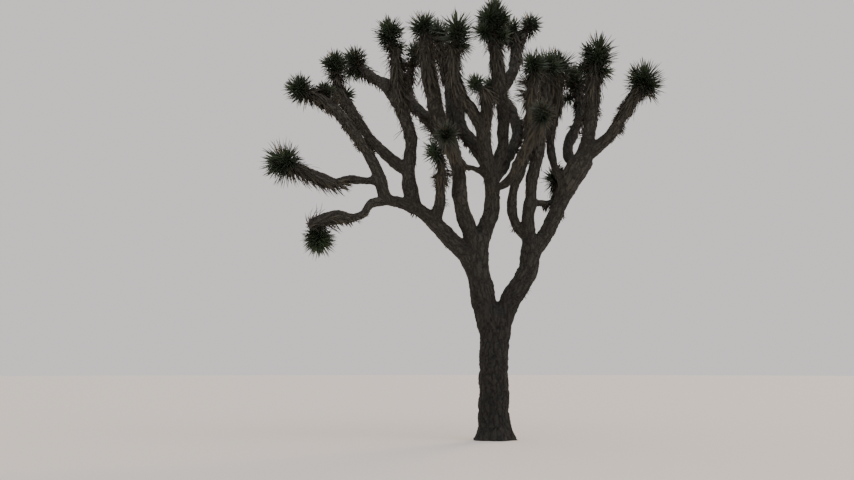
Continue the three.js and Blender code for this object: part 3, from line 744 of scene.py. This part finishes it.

# The heads of leaves: the bough each ends (on) where that hasn't the same name, its middle, the radius
# of its dense core, how much longer it is than wide (tall), how it narrows upwards (taper, below 0
# where it widens instead), and where it points (lean) if not along its bough.
# A skirt is the length of bough that its dead leaves clothe, ragged is how far they stand from it,
# spread is how far its living leaves reach, paintedShadeAge is how far its leaves are dealt older, darker
# paints as painted shade, forks are shoots that stand apart, with their radius, and group is the piece
# of leaves that it belongs to.
plainHead = {  # what a head has where its own row says nothing else
    "tall": 1, "taper": 0, "skirt": 0.4, "ragged": 1, "spread": 1, "paintedShadeAge": 0, "forks": (),
}
heads = {
    "leaves_far_left": {"group": "Left", "at": (-3.225, 4.22, -0.5), "radius": 0.212, "skirt": 0.8,
        "ragged": 1.3, "spread": 1.15},
    "leaves_low_left": {"group": "Left", "at": (-2.655, 3.025, -0.9), "radius": 0.192, "tall": 1.1,
        "lean": (0.1, -0.2, -1), "skirt": 0.35, "ragged": 1.4, "spread": 0.95},
    "leaves_left_rising": {"group": "Left", "at": (-2.96, 5.345, -0.3), "radius": 0.178, "skirt": 0.25,
        "spread": 0.94},
    "leaves_left_crossing": {"group": "Left", "at": (-2.42, 5.715, 0.3), "radius": 0.155, "tall": 1.3,
        "skirt": 0.4, "ragged": 1.1, "spread": 0.9, "forks": [((-2.26, 5.26, 0.3), 0.15)]},
    "leaves_left_side": {"group": "Left", "at": (-2.125, 5.815, 0.65), "radius": 0.15, "skirt": 0.25,
        "ragged": 1.8, "forks": [((-2.2, 5.62, 0.6), 0.12), ((-2.06, 5.6, 0.6), 0.1)]},
    "leaves_left_low": {"on": "bough_left_rising", "group": "Left", "at": (-2.565, 5.305, -0.15),
        "radius": 0.13, "lean": (0.45, 0.67, 0.62), "spread": 0.9},
    "leaves_left_upright": {"group": "Left", "at": (-1.58, 6.205, -0.2), "radius": 0.155, "tall": 1.5,
        "taper": -0.35, "skirt": 0.8, "ragged": 2, "spread": 0.86,
        "forks": [((-1.43, 6.02, -0.2), 0.1)]},
    "leaves_left_back": {"group": "Left", "at": (-1.185, 5.91, 1.08), "radius": 0.082, "tall": 1.9,
        "skirt": 1, "ragged": 2},
    "leaves_left_centre": {"group": "Middle", "at": (-1.06, 6.34, -0.62), "radius": 0.16, "skirt": 0.7,
        "ragged": 1.8},
    "leaves_centre_inner": {"group": "Middle", "at": (-0.815, 6.22, 0.5), "radius": 0.135,
        "spread": 1.1},
    "leaves_centre_front": {"group": "Middle", "at": (-0.535, 6.235, -1), "radius": 0.14, "tall": 1.6,
        "taper": -0.25, "skirt": 0.6, "ragged": 1.6, "spread": 1.2,
        "forks": [((-0.49, 6.04, -0.95), 0.13)]},
    "leaves_centre": {"group": "Middle", "at": (-0.24, 5.44, -0.9), "radius": 0.112, "skirt": 0.3,
        "spread": 0.88},
    "leaves_middle": {"group": "Middle", "at": (0.03, 6.45, -0.1), "radius": 0.236, "tall": 1.35,
        "taper": 0.3, "lean": (0.1, 0, 1), "spread": 0.92,
        "forks": [((-0.13, 6.27, -0.2), 0.16), ((0.16, 6.2, -0.1), 0.15)]},
    "leaves_middle_fork": {"group": "Middle", "at": (0.26, 6.255, 0.7), "radius": 0.132, "tall": 1.3,
        "skirt": 0.5, "forks": [((0.35, 6.36, 0.7), 0.1)]},
    "leaves_middle_spur": {"group": "Middle", "at": (0.6, 6.38, 0.95), "radius": 0.102},
    "leaves_front_middle": {"group": "Right", "at": (0.665, 5.735, -0.76), "radius": 0.158,
        "skirt": 0.65, "ragged": 1.6},
    "leaves_right_centre": {"group": "Right", "at": (0.86, 5.715, 0), "radius": 0.155, "skirt": 0.6,
        "spread": 1.22},
    "leaves_right_inner": {"group": "Right", "at": (1.035, 5.725, 0.42), "radius": 0.152, "skirt": 0.6,
        "spread": 1.22},
    "leaves_right_back": {"group": "Right", "at": (1.285, 5.49, 1.3), "radius": 0.14, "tall": 1.4,
        "skirt": 0.6, "ragged": 2, "forks": [((1.16, 5.21, 1.2), 0.13)]},
    "leaves_right_tall": {"group": "Right", "at": (1.64, 5.845, 0), "radius": 0.176, "tall": 1.55,
        "skirt": 0.5, "spread": 1.12,
        "forks": [((1.42, 5.69, 0.2), 0.13), ((1.72, 5.64, -0.05), 0.14), ((1.51, 5.95, 0.05), 0.12)]},
    "leaves_far_right": {"group": "Right", "at": (2.365, 5.49, -0.3), "radius": 0.208, "tall": 1.06,
        "lean": (0.08, 0, 1), "skirt": 0.35, "spread": 1.08, "forks": [((2.22, 5.63, -0.3), 0.08)]},
    "leaves_inner_left": {"group": "Left", "at": (-0.855, 4.35, -0.86), "radius": 0.115,
        "lean": (-1, 0, 0.45)},
    "leaves_right_spur": {"group": "Right", "at": (0.935, 3.97, 0.48), "radius": 0.09,
        "lean": (-1, 0, 0.7)},
    # the two front heads are dealt older, darker leaf paints, as painted shade
    "leaves_front_left": {"group": "Middle", "at": (-0.71, 4.68, -1.54), "radius": 0.145,
        "lean": (0, -0.3, 1), "spread": 0.85, "paintedShadeAge": 1.25},
    "leaves_front_right": {"group": "Right", "at": (0.77, 4.99, -1.6), "radius": 0.16,
        "lean": (0, -0.3, 1), "spread": 0.85, "paintedShadeAge": 1.25},
    "leaves_back_left": {"group": "Middle", "at": (-0.75, 5.92, 1.5), "radius": 0.15},
    "leaves_back_middle": {"group": "Middle", "at": (0.055, 5.36, 1.52), "radius": 0.152},
    "leaves_back_right": {"group": "Right", "at": (0.84, 5.27, 1.7), "radius": 0.152, "spread": 0.88},
}


def fullHead(name):
    return {"on": name.replace("leaves_", "bough_"), **plainHead, **heads[name]}


def squareTo(direction):
    side = unit(np.cross(direction, slant))
    return side, np.cross(direction, side)


def sideShoot(start, centre, radius, head):
    return {"start": start, "girth": shoot["girth"], "centre": centre, "ahead": unit(centre - start),
            "radius": radius, "tall": 1, "taper": 0, "spread": min(1, head["spread"]), "paintedShadeAge": head["paintedShadeAge"]}


def shootsOf(head, random):
    # a head's shoots: one that grows on from the bough, and those that fork off it
    bearer = shapes[head["on"]]
    ends = [place(*spot) for spot in limbs[head["on"]]["path"][-2:]]
    ahead = unit(np.array(head["lean"], float)) if "lean" in head else unit(ends[1] - ends[0])
    centre = place(*head["at"])
    radius = (head["radius"] + shoot["fringe"]) * stretchAt(head["at"][2])
    half = radius * head["tall"]
    main = {"start": bearer["centres"][lastRing], "girth": bearer["radii"][lastRing] * shoot["start"],
            "centre": centre, "ahead": ahead, "radius": radius}
    made = [{**main, **{key: head[key] for key in ("tall", "taper", "spread", "paintedShadeAge")}}]
    side, other = squareTo(ahead)
    turn = random.uniform(0, 2 * math.pi)
    for _ in range(round(half * shoot["sideShoots"])):
        turn += goldenTurn
        fork = math.radians(random.uniform(*shoot["fork"]))
        outward = math.cos(turn) * side + math.sin(turn) * other
        start = centre + ahead * half * (random.uniform(*shoot["from"]) - head["taper"] / 2)
        away = ahead * math.cos(fork) + outward * math.sin(fork)
        size = radius * random.uniform(*shoot["size"])
        tip = start + away * radius * random.uniform(*shoot["length"])
        made.append(sideShoot(start, tip, size, head))
    for spot, size in head["forks"]:
        tip = place(*spot)
        nearest = np.linalg.norm(bearer["centres"] - tip, axis=1).argmin()
        made.append(sideShoot(bearer["centres"][nearest], tip, size, head))
    return made


def growLeaves(one, random):
    # where the leaves of a shoot start and end, the way their upper side looks, and their paints
    radius, tall = one["radius"], one["tall"]
    count = round(dagger["leaves"] * (radius / dagger["onRadius"]) ** 2 * tall)
    age = (np.arange(count) + 0.5) / count
    turn = np.arange(count) * goldenTurn + random.uniform(0, 2 * math.pi)
    side, other = squareTo(one["ahead"])
    outward = np.cos(turn)[:, None] * side + np.sin(turn)[:, None] * other
    cosine = 1 - (1 - math.cos(math.radians(dagger["widest"]))) * age
    cosine = np.clip(cosine + random.normal(0, dagger["stray"], count), -1, 1)
    sine = np.sqrt(1 - cosine ** 2)
    share, more = dagger["reach"]
    reach = (radius * share + more) * one["spread"] * random.uniform(*dagger["uneven"], count)
    narrowing = 1 - one["taper"] * (cosine + 1) / 2
    rise = (cosine * (reach + radius * (tall - 1)))[:, None] * one["ahead"]
    tips = one["centre"] + rise + (sine * reach * narrowing)[:, None] * outward
    tips[:, 2] -= dagger["sag"] * reach * age ** 3 * random.uniform(0, 1, count)
    high, low = dagger["seats"]
    seat = (tall - high) * (1 - age) - (tall - low) * age
    bases = one["centre"] + (seat * radius)[:, None] * one["ahead"] + outward * dagger["seatOut"]
    # painted shade: a shaded head's leaves are dealt older, darker paints
    seen = age * (1 - one["paintedShadeAge"]) + one["paintedShadeAge"] * dagger["paintedShadeHeadAge"]
    paints = np.digitize(seen + random.normal(0, dagger["mixedAges"], count), dagger["ages"])
    return bases, tips, outward, paints


def shootCore(one):
    # the wood of a shoot, bowed from where it starts through the middle of its leaves
    top = one["centre"] + one["ahead"] * one["radius"] * (one["tall"] - shoot["coreEnd"])
    share = np.linspace(0, 1, shoot["coreRings"])[:, None]
    bow = one["centre"] - (one["start"] + top) / 2
    centres = one["start"] + (top - one["start"]) * share + bow * 4 * share * (1 - share)
    radii = one["girth"] + (shoot["end"] - one["girth"]) * share[:, 0]
    return skinOver(limbShape(centres, radii, np.array([0.1, 1.0, 0.1])))


# The dead leaves: folded back along the last of the bough below its head, then their broken stubs.
# A bough that lies flat has shed those on top, and the rest hang from it.
deadLeaf = {
    "leavesPerMetre": 360,
    "above": 0.12,  # the skirt starts this far up inside the head
    "length": (0.11, 0.22),
    "width": 0.025,
    "thickness": 0.006,
    "stand": (5, 30),  # degrees away from the limb
    "standAtHead": (30, 85),
    "folded": (-0.1, 0.25),  # how far below the head they start to fold back, and are all folded
    "stubsPerMetre": 170,
    "stubLength": (0.04, 0.11),
    "stubFrom": 0.3,  # share of the bough where old stubs start
    "seat": 0.9,  # share of the bough's radius that they grow from
    "droop": 0.3,  # how much their tips sink, and how much more on a limb that lies flat
    "hang": 0.9,
    "top": (-0.2, 0.5),  # how far up a side of the limb faces, from where it keeps them to where it is bare
    "flat": (0, 0.4),  # how flat the limb lies, told the same way
    "bend": 0.12,
    "stations": ((0, 1, 1), (0.35, 0.8, 1), (0.72, 0.5, 0.8)),
    "section": ((-0.5, 0.2), (0.5, 0.2), (0, -0.5)),
}


def atSpots(shape, name, spot):
    # a limb's middles, directions or radii at distances along it
    columns = shape[name].reshape(len(shape["along"]), -1).T
    return np.stack([np.interp(spot, shape["along"], column) for column in columns], 1)


def growSkirt(head, random):
    # the dead leaves and the stubs below a head, given as its living leaves are
    bearer = shapes[head["on"]]
    skirt = head["skirt"]
    end = bearer["along"][lastRing]
    whole = round((skirt + deadLeaf["above"]) * deadLeaf["leavesPerMetre"])
    bare = max(0, end * (1 - deadLeaf["stubFrom"]) - skirt)
    stubs = round(bare * deadLeaf["stubsPerMetre"])
    below = np.concatenate([
        random.uniform(-deadLeaf["above"], skirt, whole),
        skirt + bare * (1 - np.sqrt(random.uniform(0, 1, stubs))),
    ])
    length = np.concatenate([
        random.uniform(*deadLeaf["length"], whole),
        random.uniform(*deadLeaf["stubLength"], stubs),
    ])
    count = len(below)
    spot = np.minimum(end - below, bearer["along"][-1])
    turn = random.uniform(0, 2 * math.pi, count)[:, None]
    outward = np.cos(turn) * atSpots(bearer, "sides", spot) + np.sin(turn) * atSpots(bearer, "others", spot)
    bases = atSpots(bearer, "centres", spot) + outward * atSpots(bearer, "radii", spot) * deadLeaf["seat"]
    ahead = unit(atSpots(bearer, "ahead", spot))
    start, full = deadLeaf["folded"]
    share = smoothstep(below, start, min(full, skirt))
    low, high = (
        atHead * (1 - share) + folded * share
        for atHead, folded in zip(deadLeaf["standAtHead"], deadLeaf["stand"])
    )
    stand = np.radians(low + (high - low) * random.uniform(0, 1, count) * head["ragged"])
    away = outward * np.sin(stand)[:, None] - ahead * np.cos(stand)[:, None]
    lying = 1 - np.abs(ahead[:, 2])
    away[:, 2] -= (deadLeaf["droop"] + deadLeaf["hang"] * lying * share) * random.uniform(0, 1, count)
    tips = bases + unit(away) * length[:, None]
    shed = smoothstep(outward[:, 2], *deadLeaf["top"]) * smoothstep(lying, *deadLeaf["flat"]) * share
    kept = random.uniform(0, 1, count) > shed
    return bases[kept], tips[kept], outward[kept], random.integers(0, len(deadPaints), kept.sum())


# Ragged bunches of dead leaves on the limbs: for each limb the share of its length, how they point, how
# many, and how long
tuft = {
    "seed": 61,
    "spread": 0.34,  # how far the leaves fan out
    "wide": 0.035,  # how far apart they sit along the limb, and round it
    "stray": 0.3,
    "seat": 0.85,  # share of the limb's radius that they grow from
    "flatSide": (0.1, 0.2, 1),  # the way their flat sides look
}
tufts = [
    ("bough_left_back", [
        (0.04, (-1, 0, -0.3), 30, (0.1, 0.2)), (0.11, (-1, 0, 0), 30, (0.12, 0.22)),
        (0.18, (-1, 0, 0.1), 30, (0.12, 0.24)), (0.26, (-1, 0, 0.3), 26, (0.12, 0.22))]),
    ("bough_inner_left", [
        (0.72, (-1, 0, -0.2), 34, (0.08, 0.15)), (0.64, (-1, 0, -0.6), 22, (0.06, 0.12)),
        (0.8, (1, 0, -0.3), 40, (0.12, 0.18)), (0.7, (1, 0, -0.7), 30, (0.08, 0.15)),
        (0.35, (1, 0, -1), 10, (0.06, 0.12)), (0.14, (-1, 0, 0.3), 40, (0.05, 0.09))]),
    ("bough_centre_inner", [
        (0.16, (-0.6, 0, -1), 14, (0.05, 0.08)), (0.23, (-0.6, 0, -1), 24, (0.05, 0.09)),
        (0.32, (-0.6, 0, -1), 26, (0.07, 0.12))]),
    ("stem_left", [(0.97, (1, -0.3, -0.8), 9, (0.06, 0.1))]),
    ("stem_right", [(0.45, (1, -0.4, -0.8), 8, (0.06, 0.1))]),
    ("bough_front_middle", [
        (0.12, (-0.8, -0.3, -0.8), 9, (0.05, 0.1)), (0.86, (-1, 0, 0.1), 36, (0.16, 0.26)),
        (0.92, (-1, 0, 0.2), 36, (0.16, 0.26))]),
    ("bough_right", [(0.42, (0.9, -0.2, -0.7), 8, (0.05, 0.1))]),
    ("bough_right_spur", [(0.35, (0, 0, -1), 26, (0.08, 0.14))]),
    ("bough_right_tall", [
        (0.53, (0.8, -0.1, -0.7), 30, (0.07, 0.12)), (0.45, (-1, 0, -0.3), 22, (0.1, 0.17)),
        (0.31, (-1, 0, 0), 24, (0.05, 0.09))]),
    ("bough_right_inner", [(0.14, (0.8, 0, 0.6), 36, (0.05, 0.1))]),
    ("bough_left_crossing", [
        (0.6, (0.9, 0, 0.1), 16, (0.04, 0.08)), (0.7, (-0.9, 0, -0.3), 30, (0.08, 0.15))]),
    ("bough_left_rising", [
        (0.8, (0.6, 0, 0.8), 50, (0.1, 0.19)), (0.45, (-1, 0, -0.4), 20, (0.04, 0.08)),
        (0.62, (-0.8, 0, -0.8), 30, (0.04, 0.08)), (0.58, (1, 0, 0.3), 24, (0.04, 0.08))]),
    ("bough_left_side", [(0.28, (0.5, 0, 1), 40, (0.05, 0.1))]),
    ("bough_left_upright", [
        (0.9, (1, 0, -0.3), 36, (0.12, 0.2)), (0.82, (1, 0, -0.4), 36, (0.12, 0.2)),
        (0.74, (1, 0, -0.6), 26, (0.1, 0.16)), (0.5, (-0.6, 0, -1), 3, (0.2, 0.28))]),
    ("bough_far_right", [
        (0.7, (-0.8, 0, 0), 40, (0.05, 0.09)), (0.6, (-0.8, 0, -0.3), 30, (0.05, 0.08)),
        (0.52, (0.6, 0, -0.8), 26, (0.06, 0.11))]),
    ("bough_outer_left", [
        (0.72, (-0.2, 0, -1), 9, (0.05, 0.09)), (0.35, (-0.7, 0, -0.7), 5, (0.04, 0.07))]),
    ("bough_back_middle", [(share, (1, 0, 0.1), 50, (0.05, 0.09)) for share in (0.38, 0.46, 0.54)]),
    ("bough_back_middle", [(share, (1, 0, 0.1), 50, (0.05, 0.1)) for share in (0.62, 0.68)]),
    ("bough_left_rising", [(share, (1, 0, 0.2), 40, (0.04, 0.09)) for share in (0.38, 0.42, 0.46)]),
]


def growTuft(limb, share, toward, count, length, random):
    # the leaves of a ragged bunch, given as the living leaves are
    shape = shapes[limb]
    outward = unit(np.array(toward, float))
    away = unit(outward + random.normal(0, tuft["spread"], (count, 3)))
    spot = share * shape["along"][-1] + random.normal(0, tuft["wide"], count)
    ahead = atSpots(shape, "ahead", spot)
    stray = random.normal(0, tuft["stray"], (count, 3))
    across = unit(outward - ahead * (ahead @ outward)[:, None] + stray)
    bases = atSpots(shape, "centres", spot) + across * atSpots(shape, "radii", spot) * tuft["seat"]
    tips = bases + away * random.uniform(*length, count)[:, None]
    return bases, tips, np.array(tuft["flatSide"]), random.integers(0, len(deadPaints), count)


bladeUneven = {"bend": (-0.6, 1.4), "width": (0.8, 1.2)}  # the least and the most, as shares


def blades(leaf, bases, tips, upward, paints, random):
    # closed blades from their bases to their tips: all their points and faces, and each one's paint
    reach = tips - bases
    length = np.linalg.norm(reach, axis=1)[:, None]
    ahead = reach / length
    across = unit(np.cross(ahead, upward))
    lift = np.cross(across, ahead)
    bend = leaf["bend"] * length * random.uniform(*bladeUneven["bend"], (len(bases), 1))
    scale = random.uniform(*bladeUneven["width"], (len(bases), 1))
    rings = []
    for along, wide, thick in leaf["stations"]:
        middle = bases + reach * along + lift * bend * 4 * along * (1 - along)
        for x, y in leaf["section"]:
            rings.append(middle + across * (x * wide * leaf["width"] * scale)
                         + lift * (y * thick * leaf["thickness"]))
    points = np.stack([*rings, tips], 1)
    sides = len(leaf["section"])
    last = (len(leaf["stations"]) - 1) * sides
    faces = []
    for ring in range(0, last, sides):
        for s in range(sides):
            after = (s + 1) % sides
            faces += [(ring + s, ring + after, ring + sides + after),
                      (ring + s, ring + sides + after, ring + sides + s)]
    faces += [(last + s, last + (s + 1) % sides, last + sides) for s in range(sides)]
    faces += [(0, s + 1, s) for s in range(1, sides - 1)]
    starts = np.arange(len(bases)) * points.shape[1]
    whole = np.array(faces) + starts[:, None, None]
    return points.reshape(-1, 3), whole.reshape(-1, 3), paints


# Yucca leaves, grown and dried on the tree. Living ones are waxy and give a soft gleam, dead ones are
# matt straw that weathers to grey. Each blade has one plain colour, dealt out leaf by leaf.
leafPaints = {
    "youngDaggerLeaf": ("#404f37", 0.42),
    "greenDaggerLeaf": ("#323f2d", 0.46),
    "darkDaggerLeaf": ("#273226", 0.48),
    "oldDaggerLeaf": ("#383c2e", 0.55),
    "daggerLeafSpine": ("#2b2119", 0.5),
    "strawDeadLeaf": ("#464134", 0.8),
    "greyDeadLeaf": ("#3c3a33", 0.85),
    "brownDeadLeaf": ("#2d2a22", 0.85),
}
# by age, and at last straw
livingPaints = ["youngDaggerLeaf", "greenDaggerLeaf", "darkDaggerLeaf", "oldDaggerLeaf", "strawDeadLeaf"]
deadPaints = ["strawDeadLeaf", "greyDeadLeaf", "brownDeadLeaf"]


def addLeafPiece(name, parts, paints, nodes, spine=None):
    # a piece of blades, each in its own paint, and some with a spine of another
    points, faces = joinParts(parts)
    mesh = meshFrom(name, points, faces)
    leafPaint = np.concatenate([part[2] for part in parts])
    facesEach = len(faces) // len(leafPaint)
    facePaint = np.repeat(leafPaint[:, None], facesEach, 1)
    if spine is not None:
        # a blade's faces end with those at its tip and the cap of its base
        sides = len(dagger["section"])
        first = facesEach - (sides - 2) - sides
        facePaint[::dagger["spineEvery"], first:first + sides] = len(paints)
        paints = [*paints, spine]
    for paint in paints:
        mesh.materials.append(leafMaterials[paint])
    mesh.polygons.foreach_set("material_index", facePaint.ravel().astype(np.int32))
    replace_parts(addPiece(name, mesh), *nodes)


def growHeads():
    skirts, cores = [], []
    for group in ("Left", "Middle", "Right"):
        parts, nodes = [], []
        for index, name in enumerate(heads):
            head = fullHead(name)
            if head["group"] != group:
                continue
            random = np.random.default_rng(dagger["seed"] + index)
            for one in shootsOf(head, random):
                parts.append(blades(dagger, *growLeaves(one, random), random))
                cores.append(shootCore(one))
            skirts.append(blades(deadLeaf, *growSkirt(head, random), random))
            nodes.append(name)
        addLeafPiece("leaves" + group, parts, livingPaints, nodes, "daggerLeafSpine")
    random = np.random.default_rng(tuft["seed"])
    for limb, rows in tufts:
        for row in rows:
            skirts.append(blades(deadLeaf, *growTuft(limb, *row, random), random))
    addLeafPiece("deadLeafSkirts", skirts, deadPaints, [])
    core = meshFrom("leafShoots", *joinParts(cores))
    core.materials.append(leafMaterials["brownDeadLeaf"])
    addPiece("leafShoots", core)


addCamera()
addStudio()
print("camera and studio ready")
shapes = shapeLimbs()
print("limbs shaped:", len(shapes))
growBark()
leafMaterials = {name: newMaterial(name, *paint)[0] for name, paint in leafPaints.items()}
print("leaf paints mixed:", len(leafMaterials))
growHeads()

bpy.context.view_layer.update()
